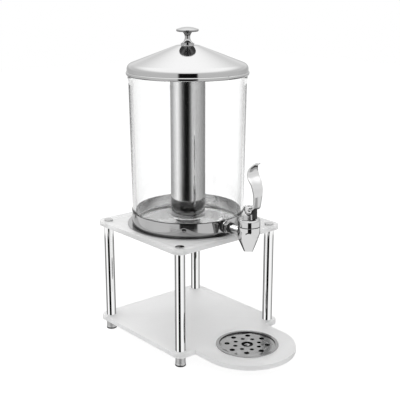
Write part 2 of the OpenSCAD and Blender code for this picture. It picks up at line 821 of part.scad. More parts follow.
// Round hub: a bowl about the pin with a dished top
module hub() rotate_extrude() difference() {
    union() {
        intersection() {
            circle(hub_r);
            translate([0, -hub_r]) square([hub_r, hub_r]);
        }
        square([hub_r - hub_edge, hub_rise]);
        square([hub_r, hub_rise - hub_edge]);
        translate([hub_r - hub_edge, hub_rise - hub_edge]) circle(hub_edge);
    }
    translate([0, hub_rise - dish_h]) square([dish_r, far]);
}

// Heel under the blade's root: a leg in front of the stem, with the cam that climbs on the bonnet
module heel() across(heel_w) polygon([
    [cam_k - heel_gap, cam_gap - cam_h], for (i = [0:cam_steps]) cam_point(pull_a * i / cam_steps),
    cam_point(pull_a) + heel_toe, bend_c + bend_r * [cos(low_a), sin(low_a)],
    [cam_k - heel_gap, heel_rise]
]);

// Way for the stem, from straight down to the full pull
module stem_slot() across(slot_w) {
    reach = 3 * hub_r;
    half = stem_r + fit_gap;
    circle(half);
    for (a = [0, pull_a]) rotate(a) translate([-half, -reach]) square([2 * half, reach]);
    polygon([[0, 0], [0, -reach], reach * 1.2 * [sin(pull_a / 2), -cos(pull_a / 2)],
        reach * [sin(pull_a), -cos(pull_a)]]);
}

module tap_lever() color("gainsboro") at_pin() difference() {
    union() {
        hub();
        difference() {
            blade();
            cylinder(r = hub_r - blade_bite, h = hub_rise + 1);
        }
        heel();
    }
    stem_slot();
    rotate([0, 90, 0]) cylinder(r = pin_r, h = far, center = true);
}

module lever_pin() color("silver")
    at_pin() rotate([0, 90, 0]) cylinder(r = pin_r, h = pin_l, center = true);

base_plate();
top_plate();
leg(-1, -1);  // leg_front_left
leg(1, -1);  // leg_front_right
leg(-1, 1);  // leg_rear_left
leg(1, 1);  // leg_rear_right
foot(-1, -1);  // foot_front_left
foot(1, -1);  // foot_front_right
foot(-1, 1);  // foot_rear_left
foot(1, 1);  // foot_rear_right
pad(-1, -1);  // pad_front_left
pad(1, -1);  // pad_front_right
pad(-1, 1);  // pad_rear_left
pad(1, 1);  // pad_rear_right
leg_plugs();
top_screws();
foot_studs();
drip_cup();
cup_post();
drip_grid();
base_disc();
pan();
container_gasket();
container();
boss_seal();
tube_boss();
ice_tube();
tube_end();
bolt_seal();
centre_bolt();
centre_washer();
centre_nut();
lid_shell();
lid_rim();
lid_gasket();
knob_pad();
lid_knob();
knob_screw();
screw_washer();
shank();
outer_washer();
shank_collar();
lock_nut();
shank_ring();
inner_washer();
inner_nut();
tap_body();
joint_seal();
tap_bonnet();
stem_ring();
valve_stem();
valve_plug();
return_spring();
tap_lever();
lever_pin();
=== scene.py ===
import bmesh
import bpy
import math
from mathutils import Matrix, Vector


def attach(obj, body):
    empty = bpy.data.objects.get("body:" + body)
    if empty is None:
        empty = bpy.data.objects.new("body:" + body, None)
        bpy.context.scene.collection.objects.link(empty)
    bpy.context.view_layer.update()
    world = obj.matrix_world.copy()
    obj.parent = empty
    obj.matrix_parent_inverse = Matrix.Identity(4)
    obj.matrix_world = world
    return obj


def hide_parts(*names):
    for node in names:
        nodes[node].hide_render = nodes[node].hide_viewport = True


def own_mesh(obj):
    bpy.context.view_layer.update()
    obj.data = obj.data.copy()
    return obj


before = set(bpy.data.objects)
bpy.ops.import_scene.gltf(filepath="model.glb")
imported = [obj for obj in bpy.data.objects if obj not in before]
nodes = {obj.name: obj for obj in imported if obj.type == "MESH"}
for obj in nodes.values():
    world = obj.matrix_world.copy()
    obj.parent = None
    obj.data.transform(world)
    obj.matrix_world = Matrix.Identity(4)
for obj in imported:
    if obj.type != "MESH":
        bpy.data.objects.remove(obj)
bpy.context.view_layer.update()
tankY, tapY, pinZ = 0.0665, -0.1045, 0.288  # the two upright axes and the lever's pin, metres
legOffset = 0.111  # from the tank's axis to each leg, both ways
corners = ("front_left", "front_right", "rear_left", "rear_right")
cornerSides = ((-1, -1), (1, -1), (-1, 1), (1, 1))
cornerPlaces = {corner: (x * legOffset, tankY + y * legOffset)
                for corner, (x, y) in zip(corners, cornerSides)}
print("frame loaded:", len(nodes), "nodes")

# camera at the photograph's place
photoView = {"place": (-0.9723, -1.1138, 0.6893), "aim": (0.0268, 0.0626, 0.2676),
             "lens": 73.74, "sensor": 36}


def turnTo(start, end):
    # the turn that aims a camera or lamp from one place at another
    return (Vector(end) - Vector(start)).to_track_quat("-Z", "Y").to_euler()


bpy.ops.object.camera_add(location=photoView["place"],
                          rotation=turnTo(photoView["place"], photoView["aim"]))
camera = bpy.context.object
camera.data.lens, camera.data.sensor_width = photoView["lens"], photoView["sensor"]
bpy.context.scene.camera = camera
bpy.context.scene.view_settings.view_transform = "Standard"
print("camera set")


# small helpers for node trees
def grey(tone):
    return (tone, tone, tone, 1)


def addNode(tree, kind, **settings):
    node = tree.nodes.new(kind)
    for key, value in settings.items():
        setattr(node, key, value)
    return node


def feed(tree, socket, value):
    # a plain value is set on the socket, another node's output is linked to it
    if isinstance(value, (int, float, tuple)):
        socket.default_value = value
    else:
        tree.links.new(value, socket)


def mathNode(tree, operation, *values):
    node = addNode(tree, "ShaderNodeMath", operation=operation)
    for socket, value in zip(node.inputs, values):
        feed(tree, socket, value)
    return node.outputs[0]


def mixColour(tree, factor, first, second):
    node = addNode(tree, "ShaderNodeMix", data_type="RGBA")
    for index, value in ((0, factor), (6, first), (7, second)):
        feed(tree, node.inputs[index], value)
    return node.outputs[2]


def rampNode(tree, factor, stops):
    node = addNode(tree, "ShaderNodeValToRGB")
    ramp = node.color_ramp
    while len(ramp.elements) < len(stops):
        ramp.elements.new(0.5)
    for element, (place, tone) in zip(ramp.elements, stops):
        element.position = place
        element.color = grey(tone)
    tree.links.new(factor, node.inputs[0])
    return node.outputs[0]


def smoothTurn(tree, value, start, end):
    # rises from 0 at start to 1 at end, or falls where start is the higher
    turn = addNode(tree, "ShaderNodeMapRange", interpolation_type="SMOOTHSTEP")
    tree.links.new(value, turn.inputs["Value"])
    turn.inputs["From Min"].default_value = min(start, end)
    turn.inputs["From Max"].default_value = max(start, end)
    if start > end:
        turn.inputs["To Min"].default_value, turn.inputs["To Max"].default_value = 1, 0
    return turn.outputs[0]


def splitPlace(tree, place):
    parts = addNode(tree, "ShaderNodeSeparateXYZ")
    tree.links.new(place, parts.inputs[0])
    return parts.outputs


def axisRadius(tree, place):
    # distance from the upright axis
    flat = addNode(tree, "ShaderNodeVectorMath", operation="MULTIPLY")
    flat.inputs[1].default_value = (1, 1, 0)
    tree.links.new(place, flat.inputs[0])
    radius = addNode(tree, "ShaderNodeVectorMath", operation="LENGTH")
    tree.links.new(flat.outputs[0], radius.inputs[0])
    return radius.outputs["Value"]


def noiseNode(tree, place, scale, detail):
    noise = addNode(tree, "ShaderNodeTexNoise")
    noise.inputs["Scale"].default_value, noise.inputs["Detail"].default_value = scale, detail
    tree.links.new(place, noise.inputs["Vector"])
    return noise.outputs["Fac"]


def bounced(tree, path, kind, times):
    # 1 for light that was mirrored, scattered or let through at least this many times
    return mathNode(tree, "GREATER_THAN", path.outputs[kind + " Depth"], times - 0.5)


# studio: what mirrors see depends on direction, what the camera sees behind the object is white
# a ring is (degrees, brightness) all round, a turn is where one ring goes over into the next
# heights are sines of height angles
studio = {
    "turn": 130.34,  # degrees, puts the camera's side at angle 0
    "strength": 2,  # the rings hold their brightness divided by this
    "below": ((-180, 0.55), (-160, 0.6), (-155, 0.03), (-130, 0.03), (-124, 0.5), (-109, 0.5),
              (-104, 0.06), (-92, 0.06), (-84, 0.8), (-72, 1.05), (-30, 1.05), (20, 1.0), (52, 0.98),
              (85, 0.92), (94, 0.45), (114, 0.5), (119, 0.03), (143, 0.03), (149, 0.6), (180, 0.55)),
    "middle": ((-180, 1), (-158, 1), (-153, 0.35), (-131, 0.35), (-126, 1),
               (120, 1), (125, 0.35), (141, 0.35), (146, 1), (180, 1)),
    "level": ((-180, 0.65), (-150, 0.7), (-110, 0.95), (-60, 1.0),
              (60, 1.0), (110, 0.95), (150, 0.7), (180, 0.65)),
    "above": ((-180, 1.03), (-60, 1.05), (60, 1.05), (180, 1.03)),
    # within the tank: two lamps and a dark card
    "inside": ((-180, 0.3), (-120, 0.6), (-76, 1.45), (-64, 1.3), (-35, 0.16), (-18, 0.01), (4, 0.01),
               (17, 0.2), (30, 0.86), (40, 0.97), (100, 0.53), (140, 0.27), (180, 0.22)),
    # within the tank's wall
    "wall": ((-180, 1), (-75, 1), (-40, 0.3), (-22, 0.02), (14, 0.02), (32, 0.3), (70, 1), (180, 1)),
    "top": 1.97,
    "lowTurn": (-0.306, -0.299),
    "levelTurn": (-0.14, -0.115),
    "highTurn": (0.02, 0.22),
    "topTurn": (0.32, 0.82),
    # dark card below the camera, with its lower and upper edge, and the wider one under it
    "card": ((-180, 0), (-18, 0), (-15, 1), (18, 1), (21, 0), (180, 0)),
    "cardHeights": ((-0.306, -0.299), (0.42, 0.36)),
    "lowCard": ((-180, 0), (-38, 0), (-35, 1), (12, 1), (15, 0), (180, 0)),
    "lowCardHeights": ((-0.7, -0.63), (-0.299, -0.306)),
    "black": 0.008,  # brightness of the cards
    "soft": 0.9,  # light on matt surfaces
    "deep": 0.5,  # what is left of the studio in reflections of reflections
    "passes": (1, 4, 6),  # surfaces passed by light in the tank's wall, within the tank and deeper
    "deepInside": 1.8,  # gain on reflections of reflections deeper in the tank
    "earlyShare": 0.4,  # share of that gain within the tank
}


def shade(brightness):
    return brightness / studio["strength"]


def angleStops(stops):
    return [((angle + 180) / 360, shade(tone)) for angle, tone in stops]


def makeWorld():
    world = bpy.data.worlds.new("studio")
    bpy.context.scene.world = world
    world.use_nodes = True
    tree = world.node_tree
    tree.nodes.clear()
    way = addNode(tree, "ShaderNodeTexCoord").outputs["Generated"]
    turn = addNode(tree, "ShaderNodeMapping")
    turn.inputs["Rotation"].default_value[2] = math.radians(studio["turn"])
    tree.links.new(way, turn.inputs["Vector"])
    x, y, height = splitPlace(tree, turn.outputs[0])
    angle = mathNode(tree, "ARCTAN2", y, x)
    angle = mathNode(tree, "MULTIPLY_ADD", angle, 0.5 / math.pi, 0.5)
    below, middle, level, above, inside, wall = (
        rampNode(tree, angle, angleStops(studio[key]))
        for key in ("below", "middle", "level", "above", "inside", "wall"))
    path = addNode(tree, "ShaderNodeLightPath")
    mirrored, twice = (bounced(tree, path, "Glossy", times) for times in (1, 2))
    scattered = bounced(tree, path, "Diffuse", 1)
    edgewise, within, deeper = (bounced(tree, path, "Transmission", times) for times in studio["passes"])
    seen = mixColour(tree, smoothTurn(tree, height, *studio["lowTurn"]), below, middle)
    seen = mixColour(tree, smoothTurn(tree, height, *studio["levelTurn"]), seen, level)
    seen = mixColour(tree, edgewise, seen, wall)
    seen = mixColour(tree, within, seen, inside)
    seen = mixColour(tree, smoothTurn(tree, height, *studio["highTurn"]), seen, above)
    seen = mixColour(tree, smoothTurn(tree, height, *studio["topTurn"]), seen, grey(shade(studio["top"])))
    dark = mathNode(tree, "MULTIPLY", twice, 1 - studio["deep"])
    for key in ("card", "lowCard"):
        card = rampNode(tree, angle, angleStops(studio[key]))
        card = mathNode(tree, "MULTIPLY", card, studio["strength"])
        for edge in studio[key + "Heights"]:
            card = mathNode(tree, "MULTIPLY", card, smoothTurn(tree, height, *edge))
        dark = mathNode(tree, "MAXIMUM", dark, card)
    dark = mathNode(tree, "MULTIPLY", dark, mathNode(tree, "SUBTRACT", 1, edgewise))
    seen = mixColour(tree, dark, seen, grey(shade(studio["black"])))
    early = studio["earlyShare"]
    late = mathNode(tree, "MULTIPLY", deeper, 1 - early)
    gain = mathNode(tree, "MULTIPLY", mathNode(tree, "MULTIPLY_ADD", within, early, late), twice)
    gain = mathNode(tree, "MULTIPLY_ADD", gain, studio["deepInside"] - 1, 1)
    plain = mixColour(tree, mirrored, grey(shade(1)), seen)
    colour = mixColour(tree, scattered, plain, grey(shade(studio["soft"])))
    light = addNode(tree, "ShaderNodeBackground")
    tree.links.new(colour, light.inputs["Color"])
    tree.links.new(mathNode(tree, "MULTIPLY", gain, studio["strength"]), light.inputs["Strength"])
    out = addNode(tree, "ShaderNodeOutputWorld")
    tree.links.new(light.outputs[0], out.inputs["Surface"])


makeWorld()

# pale floor: keep is the share of true shading that it shows, so that the shadow stays
floorLook = {"size": 9, "tone": 0.82, "keep": 0.25, "glow": 1.2, "drop": 0.0002}


def mixShaders(tree, factor, first, second):
    mix = addNode(tree, "ShaderNodeMixShader")
    for socket, value in zip(mix.inputs, (factor, first.outputs[0], second.outputs[0])):
        tree.links.new(value, socket)
    return mix


def makeFloor():
    bpy.ops.mesh.primitive_plane_add(size=floorLook["size"], location=(0, 0, -floorLook["drop"]))
    floor = bpy.context.object
    floor.name = "studioFloor"
    paint = bpy.data.materials.new("paleFloor")
    paint.use_nodes = True
    tree = paint.node_tree
    tree.nodes.clear()
    path = addNode(tree, "ShaderNodeLightPath")
    shown = path.outputs["Is Camera Ray"]
    for kind in ("Is Transmission Ray", "Is Glossy Ray"):
        shown = mathNode(tree, "MAXIMUM", shown, path.outputs[kind])
    matt = addNode(tree, "ShaderNodeBsdfDiffuse")
    matt.inputs["Color"].default_value = grey(floorLook["tone"])
    glow = addNode(tree, "ShaderNodeEmission")
    glow.inputs["Strength"].default_value = floorLook["glow"]
    mix = mixShaders(tree, mathNode(tree, "MULTIPLY", shown, 1 - floorLook["keep"]), matt, glow)
    clear = addNode(tree, "ShaderNodeBsdfTransparent")
    past = mixShaders(tree, bounced(tree, path, "Glossy", 1), mix, clear)  # mirrors look past the floor
    out = addNode(tree, "ShaderNodeOutputMaterial")
    tree.links.new(past.outputs[0], out.inputs["Surface"])
    floor.data.materials.append(paint)


makeFloor()

softbox = {"place": (-0.45, 0.95, 1.35), "aim": (0, 0, 0.15), "size": 0.9, "power": 5}
bpy.ops.object.light_add(type="AREA", location=softbox["place"],
                         rotation=turnTo(softbox["place"], softbox["aim"]))
lamp = bpy.context.object
lamp.data.size, lamp.data.energy = softbox["size"], softbox["power"]
lamp.visible_glossy = False
print("studio set")

# shared surface effects
effects = {"lineDetail": 3, "markDetail": 5, "markRoughness": 0.62, "markSpread": (0.42, 0.68)}


def makeGroup(name, output, **inputs):
    # a group that reads a place and some numbers, and puts out one value
    group = bpy.data.node_groups.new(name, "ShaderNodeTree")
    group.interface.new_socket("Vector", in_out="INPUT", socket_type="NodeSocketVector")
    for label, value in inputs.items():
        socket = group.interface.new_socket(label, in_out="INPUT", socket_type="NodeSocketFloat")
        socket.default_value = value
    group.interface.new_socket(output, in_out="OUTPUT", socket_type="NodeSocketFloat")
    given, result = group.nodes.new("NodeGroupInput"), group.nodes.new("NodeGroupOutput")
    return group, given.outputs, result.inputs[output]


def makeBrushLines():
    group, given, result = makeGroup("brushLines", "Tone", Across=900, Along=8)
    stretch = addNode(group, "ShaderNodeCombineXYZ")
    for socket, label in zip(stretch.inputs, ("Across", "Across", "Along")):
        group.links.new(given[label], socket)
    place = addNode(group, "ShaderNodeVectorMath", operation="MULTIPLY")
    group.links.new(given["Vector"], place.inputs[0])
    group.links.new(stretch.outputs[0], place.inputs[1])
    group.links.new(noiseNode(group, place.outputs[0], 1, effects["lineDetail"]), result)
    return group


def makeTurnedRings():
    group, given, result = makeGroup("turnedRings", "Tone", Rings=900)
    height = splitPlace(group, given["Vector"])[2]
    ring = addNode(group, "ShaderNodeCombineXYZ")
    for socket, value in zip(ring.inputs, (axisRadius(group, given["Vector"]), height)):
        group.links.new(mathNode(group, "MULTIPLY", value, given["Rings"]), socket)
    group.links.new(noiseNode(group, ring.outputs[0], 1, effects["lineDetail"]), result)
    return group


def makeHandMarks():
    group, given, result = makeGroup("handMarks", "Mask", Size=22)
    noise = addNode(group, "ShaderNodeTexNoise")
    noise.inputs["Detail"].default_value = effects["markDetail"]
    noise.inputs["Roughness"].default_value = effects["markRoughness"]
    group.links.new(given["Vector"], noise.inputs["Vector"])
    group.links.new(given["Size"], noise.inputs["Scale"])
    group.links.new(smoothTurn(group, noise.outputs["Fac"], *effects["markSpread"]), result)
    return group


groups = {"brush": makeBrushLines(), "rings": makeTurnedRings(), "marks": makeHandMarks()}
print("shared effects made")


# finishes
def newFinish(name, metallic=0):
    finish = bpy.data.materials.new(name)
    finish.use_nodes = True
    tree = finish.node_tree
    shader = tree.nodes["Principled BSDF"]
    shader.inputs["Metallic"].default_value = metallic
    place = addNode(tree, "ShaderNodeTexCoord").outputs["Object"]
    return finish, tree, shader, place


def placeGroup(tree, key, place, **values):
    node = addNode(tree, "ShaderNodeGroup", node_tree=groups[key])
    tree.links.new(place, node.inputs["Vector"])
    for label, value in values.items():
        node.inputs[label].default_value = value
    return node.outputs[0]


def centred(tree, place, centre):
    move = addNode(tree, "ShaderNodeMapping")
    move.inputs["Location"].default_value = [-value for value in centre]
    tree.links.new(place, move.inputs["Vector"])
    return move.outputs[0]


def between(tree, factor, low, high):
    spread = addNode(tree, "ShaderNodeMapRange")
    tree.links.new(factor, spread.inputs["Value"])
    spread.inputs["To Min"].default_value, spread.inputs["To Max"].default_value = low, high
    return spread.outputs[0]


def addBump(tree, shader, height, strength, depth=0.0002):
    bump = addNode(tree, "ShaderNodeBump")
    bump.inputs["Strength"].default_value, bump.inputs["Distance"].default_value = strength, depth
    tree.links.new(height, bump.inputs["Height"])
    tree.links.new(bump.outputs[0], shader.inputs["Normal"])


def makeMetal(name, tone, rough, lines, marks, centre=(0, 0, 0), bump=0.03):
    # tone is (middle, shift), rough is (least, spread)
    # lines is ("brush", across, along) or ("rings", rings)
    finish, tree, shader, place = newFinish(name, 1)
    (middle, shift), (least, spread) = tone, rough
    place = centred(tree, place, centre)
    if lines[0] == "brush":
        line = placeGroup(tree, "brush", place, Across=lines[1], Along=lines[2])
    else:
        line = placeGroup(tree, "rings", place, Rings=lines[1])
    mark = placeGroup(tree, "marks", place, Size=marks)
    colour = mixColour(tree, line, grey(middle - shift), grey(middle + shift))
    tree.links.new(colour, shader.inputs["Base Color"])
    both = mathNode(tree, "MULTIPLY_ADD", line, 0.5, mathNode(tree, "MULTIPLY", mark, 0.5))
    tree.links.new(between(tree, both, least, least + spread), shader.inputs["Roughness"])
    addBump(tree, shader, line, bump)
    return finish


# pan: polished outside with a painted shadow line under the rim, satin inside
panLook = {"wall": 0.1079, "rings": 1100, "marks": 14, "bump": 0.03, "tones": (0.445, 0.475),
           "shadowLineHeights": (0.2549, 0.2553), "shadowLineTone": 0.05, "outer": (0.04, 0.08), "inner": (0.08, 0.14)}


def makePanSheet():
    finish, tree, shader, place = newFinish("panSheet", 1)
    place = centred(tree, place, (0, tankY, 0))
    inside = mathNode(tree, "LESS_THAN", axisRadius(tree, place), panLook["wall"])
    rings = placeGroup(tree, "rings", place, Rings=panLook["rings"])
    marks = placeGroup(tree, "marks", place, Size=panLook["marks"])
    # painted shadow: the outside's top millimetre under the rim is coloured near black
    line = smoothTurn(tree, splitPlace(tree, place)[2], *panLook["shadowLineHeights"])
    line = mathNode(tree, "MULTIPLY", line, mathNode(tree, "SUBTRACT", 1, inside))
    tone = mixColour(tree, rings, *(grey(tone) for tone in panLook["tones"]))
    tree.links.new(mixColour(tree, line, tone, grey(panLook["shadowLineTone"])), shader.inputs["Base Color"])
    both = addNode(tree, "ShaderNodeMix")
    outer, inner = between(tree, marks, *panLook["outer"]), between(tree, rings, *panLook["inner"])
    for index, value in ((0, inside), (2, outer), (3, inner)):
        tree.links.new(value, both.inputs[index])
    tree.links.new(both.outputs[0], shader.inputs["Roughness"])
    addBump(tree, shader, rings, panLook["bump"])
    return finish


# bonnet: bright wall, with painted shade towards the round shoulder
bonnetLook = {"shoulder": (0.2688, 0.2722), "tones": (0.62, 0.36), "rough": (0.03, 0.08), "marks": 40}


def makeBonnetPlate():
    finish, tree, shader, place = newFinish("bonnetPlate", 1)
    # painted shade: the base colour darkens from the wall's tone to the shoulder's
    shoulderShade = smoothTurn(tree, splitPlace(tree, place)[2], *bonnetLook["shoulder"])
    marks = placeGroup(tree, "marks", place, Size=bonnetLook["marks"])
    colour = mixColour(tree, shoulderShade, *(grey(tone) for tone in bonnetLook["tones"]))
    tree.links.new(colour, shader.inputs["Base Color"])
    tree.links.new(between(tree, marks, *bonnetLook["rough"]), shader.inputs["Roughness"])
    return finish


# rubber and silicone: hand marks are paler by a factor and a little more
rubberLook = {"marks": 60, "paler": 1.25, "more": 0.004, "spread": 0.1, "detail": 4, "bump": 0.12}


def makeRubber(name, tone, rough, grain):
    finish, tree, shader, place = newFinish(name)
    noise = noiseNode(tree, place, grain, rubberLook["detail"])
    marks = placeGroup(tree, "marks", place, Size=rubberLook["marks"])
    pale, spread = tone * rubberLook["paler"] + rubberLook["more"], rubberLook["spread"]
    tree.links.new(mixColour(tree, marks, grey(tone), grey(pale)), shader.inputs["Base Color"])
    tree.links.new(between(tree, noise, rough - spread, rough + spread), shader.inputs["Roughness"])
    addBump(tree, shader, noise, rubberLook["bump"])
    return finish


# acrylic, frosted on the plates and clear in the tank
acrylic = {"index": 1.49, "grain": 1400, "detail": 3, "frostMarks": 14, "frostTones": (0.95, 0.93),
           "frostThrough": 0.3, "frostBump": 0.05, "clearMarks": 9, "clearTint": (0.992, 0.996, 0.996, 1)}


def makeFrosted(name, rough, roughShift):
    finish, tree, shader, place = newFinish(name)
    noise = noiseNode(tree, place, acrylic["grain"], acrylic["detail"])
    marks = placeGroup(tree, "marks", place, Size=acrylic["frostMarks"])
    colour = mixColour(tree, marks, *(grey(tone) for tone in acrylic["frostTones"]))
    tree.links.new(colour, shader.inputs["Base Color"])
    tree.links.new(between(tree, noise, rough, rough + roughShift), shader.inputs["Roughness"])
    shader.inputs["Transmission Weight"].default_value = acrylic["frostThrough"]
    shader.inputs["IOR"].default_value = acrylic["index"]
    addBump(tree, shader, noise, acrylic["frostBump"])
    return finish


def makeClear():
    finish, tree, shader, place = newFinish("clearTank")
    marks = placeGroup(tree, "marks", place, Size=acrylic["clearMarks"])
    tree.links.new(mixColour(tree, marks, grey(1), acrylic["clearTint"]), shader.inputs["Base Color"])
    shader.inputs["Roughness"].default_value = 0
    shader.inputs["Transmission Weight"].default_value = 1
    shader.inputs["IOR"].default_value = acrylic["index"]
    return finish


onTank, onTap = (0, tankY, 0), (0, tapY, 0)  # centres of turned rings
finishes = {
    "frosted": makeFrosted("frostedAcrylic", 0.34, 0.12),
    "frostedTop": makeFrosted("frostedTop", 0.17, 0.1),
    "clear": makeClear(),
    "mirrorTube": makeMetal("mirrorTube", (0.93, 0.01), (0.02, 0.03), ("brush", 500, 6), 18),
    "sheet": makeMetal("polishedSheet", (0.46, 0.015), (0.04, 0.05), ("rings", 1100), 14, onTank),
    "pan": makePanSheet(),
    "tube": makeMetal("brushedTube", (0.62, 0.05), (0.06, 0.04), ("brush", 1300, 5), 10, bump=0.05),
    "disc": makeMetal("turnedDisc", (0.36, 0.03), (0.1, 0.08), ("rings", 1500), 12, onTank, 0.06),
    "tray": makeMetal("satinTray", (0.27, 0.02), (0.08, 0.08), ("rings", 1300), 20, onTap, 0.04),
    "plate": makeMetal("brightPlate", (0.66, 0.01), (0.03, 0.04), ("brush", 300, 300), 40),
    "bonnet": makeBonnetPlate(),
    # painted reflection: the screw caps take a darker copy of the chrome plate, for the dark they mirror
    "cap": makeMetal("cappedScrew", (0.48, 0.01), (0.04, 0.04), ("brush", 300, 300), 40),
    # painted shade: the nut and collar take a darker copy of the tap's chrome plate
    "nut": makeMetal("darkPlate", (0.36, 0.02), (0.06, 0.05), ("brush", 400, 400), 40),
    "knob": makeMetal("turnedKnob", (0.38, 0.01), (0.03, 0.04), ("rings", 1100), 40, onTank),
    "steel": makeMetal("plainSteel", (0.5, 0.03), (0.22, 0.14), ("rings", 1800), 40, onTank),
    "foot": makeMetal("satinFoot", (0.56, 0.03), (0.4, 0.12), ("brush", 200, 1600), 40),
    "rubber": makeRubber("blackRubber", 0.014, 0.62, 1800),
    "silicone": makeRubber("milkySilicone", 0.78, 0.5, 900),
}
print("finishes made:", len(finishes))

smoothAngle = 35  # degrees, edges that turn by more stay sharp


# modelling helpers
def freshStart():
    if bpy.context.object and bpy.context.object.mode != "OBJECT":
        bpy.ops.object.mode_set(mode="OBJECT")
    bpy.ops.object.select_all(action="DESELECT")


def choose(piece):
    freshStart()
    piece.select_set(True)
    bpy.context.view_layer.objects.active = piece


def newPiece():
    # the primitive that was just added, with its place moved into its mesh
    bpy.ops.object.transform_apply(location=True, rotation=True, scale=True)
    return bpy.context.object


def pick(piece, kind, wanted):
    # selects vertices, edges or faces in edit mode, by the place of their middle
    bpy.ops.object.mode_set(mode="EDIT")
    bpy.ops.mesh.select_mode(type=kind)
    bpy.ops.mesh.select_all(action="DESELECT")
    shape = bmesh.from_edit_mesh(piece.data)
    for part in {"VERT": shape.verts, "EDGE": shape.edges, "FACE": shape.faces}[kind]:
        ends = [part] if kind == "VERT" else list(part.verts)
        part.select_set(bool(wanted(part, sum((end.co for end in ends), Vector()) / len(ends))))
    bmesh.update_edit_mesh(piece.data)


def modify(piece, kind, **settings):
    bpy.ops.object.mode_set(mode="OBJECT")
    bpy.context.view_layer.objects.active = piece
    modifier = piece.modifiers.new(kind, kind)
    for key, value in settings.items():
        setattr(modifier, key, value)
    bpy.ops.object.modifier_apply(modifier=modifier.name)


def easeEdges(piece, width, segments=3, sharp=50):
    # rounds the edges that turn by more than sharp degrees
    modify(piece, "BEVEL", width=width, segments=segments, limit_method="ANGLE",
           angle_limit=math.radians(sharp))


def carve(piece, cutter, operation="DIFFERENCE"):
    modify(piece, "BOOLEAN", object=cutter, operation=operation, solver="EXACT")
    bpy.data.objects.remove(cutter)


def addBlock(size, middle):
    freshStart()
    bpy.ops.mesh.primitive_cube_add(size=1, location=middle)
    bpy.context.object.scale = size
    return newPiece()


def addRod(radius, start, end, sides=64):
    # round bar from one point to another
    freshStart()
    start, end = Vector(start), Vector(end)
    turn = (end - start).to_track_quat("Z", "Y").to_euler()
    bpy.ops.mesh.primitive_cylinder_add(vertices=sides, radius=radius, depth=(end - start).length,
                                        location=(start + end) / 2, rotation=turn)
    return newPiece()


def softPath(points, steps=6):
    # points are (radius, height) or (radius, height, rounding); the corners that have one are rounded
    path = []
    for index, point in enumerate(points):
        here = Vector(point[:2])
        if len(point) < 3:
            path.append(here)
            continue
        before = (Vector(points[index - 1][:2]) - here).normalized()
        after = (Vector(points[(index + 1) % len(points)][:2]) - here).normalized()
        half = before.angle(after) / 2
        reach = point[2] / math.tan(half)
        centre = here + (before + after).normalized() * point[2] / math.sin(half)
        first, last = (here + side * reach - centre for side in (before, after))
        for step in range(steps + 1):
            path.append(centre + first.normalized().slerp(last.normalized(), step / steps) * point[2])
    return path


def faceOutwards():
    bpy.ops.mesh.select_all(action="SELECT")
    bpy.ops.mesh.normals_make_consistent(inside=False)


def drawPath(places):
    # one vertex, drawn out from place to place
    freshStart()
    bpy.ops.mesh.primitive_plane_add(size=0.001, location=places[0])
    piece = newPiece()
    bpy.ops.object.mode_set(mode="EDIT")
    bpy.ops.mesh.select_mode(type="VERT")
    bpy.ops.mesh.select_all(action="SELECT")
    bpy.ops.mesh.merge(type="CENTER")
    for here, there in zip(places, places[1:]):
        bpy.ops.mesh.extrude_region_move(TRANSFORM_OT_translate={"value": Vector(there) - Vector(here)})
    bpy.ops.mesh.select_all(action="SELECT")
    return piece


def drawSlab(places, depth):
    # a closed outline, filled and drawn out to a slab
    piece = drawPath(places)
    bpy.ops.mesh.edge_face_add()
    bpy.ops.mesh.extrude_region_move(TRANSFORM_OT_translate={"value": depth})
    faceOutwards()
    bpy.ops.object.mode_set(mode="OBJECT")
    return piece


def onCircle(centre, radius, degrees):
    turn = math.radians(degrees)
    return (centre[0] + radius * math.cos(turn), centre[1] + radius * math.sin(turn))


def arcPoints(centre, radius, start, end, steps):
    return [onCircle(centre, radius, start + (end - start) * step / steps) for step in range(steps + 1)]


def lathe(points, centre, steps=96, weld=0.000002):
    # a profile spun round the upright axis at centre
    piece = drawPath([(centre[0] + place.x, centre[1], place.y) for place in softPath(points)])
    bpy.ops.mesh.spin(steps=steps, angle=2 * math.pi, center=(centre[0], centre[1], 0), axis=(0, 0, 1))
    bpy.ops.mesh.select_all(action="SELECT")
    bpy.ops.mesh.remove_doubles(threshold=weld)
    faceOutwards()
    bpy.ops.object.mode_set(mode="OBJECT")
    return piece


def finishPiece(piece, name, finish, body, slot, *stands):
    choose(piece)
    bpy.ops.object.shade_smooth_by_angle(angle=math.radians(smoothAngle))
    piece.name = piece.data.name = name
    piece.data.materials.clear()
    piece.data.materials.append(finishes[finish])
    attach(piece, body)
    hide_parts(*stands)


def copyTo(piece, move):
    freshStart()
    twin = piece.copy()
    twin.data = piece.data.copy()
    bpy.context.collection.objects.link(twin)
    choose(twin)
    twin.location = move
    bpy.ops.object.transform_apply(location=True, rotation=False, scale=False)
    return twin


# frosted plates
plates = {"width": 0.256, "thick": 0.009, "corner": 0.016, "cornerSteps": 14, "edge": 0.0011,
          "baseMiddle": 0.0255, "topMiddle": 0.223, "tongue": 0.08995, "tongueSteps": 72,
          "studHole": 0.0033, "boltHole": 0.0043, "holeSides": 40, "cupHole": 0.054, "cupSides": 96,
          "drill": 0.02}  # the drill's reach to each side of a plate's middle


def squarePlate(middle):
    plate = addBlock((plates["width"], plates["width"], plates["thick"]), (0, tankY, middle))

    def upright(edge, place):
        return abs(edge.verts[0].co.z - edge.verts[1].co.z) > plates["thick"] / 2
    pick(plate, "EDGE", upright)
    bpy.ops.mesh.bevel(offset=plates["corner"], segments=plates["cornerSteps"], affect="EDGES")
    bpy.ops.object.mode_set(mode="OBJECT")
    return plate


def drillPlate(plate, middle, holes):
    low, high = middle - plates["drill"], middle + plates["drill"]
    for radius, sides, x, y in holes:
        carve(plate, addRod(radius, (x, y, low), (x, y, high), sides))
    easeEdges(plate, plates["edge"])


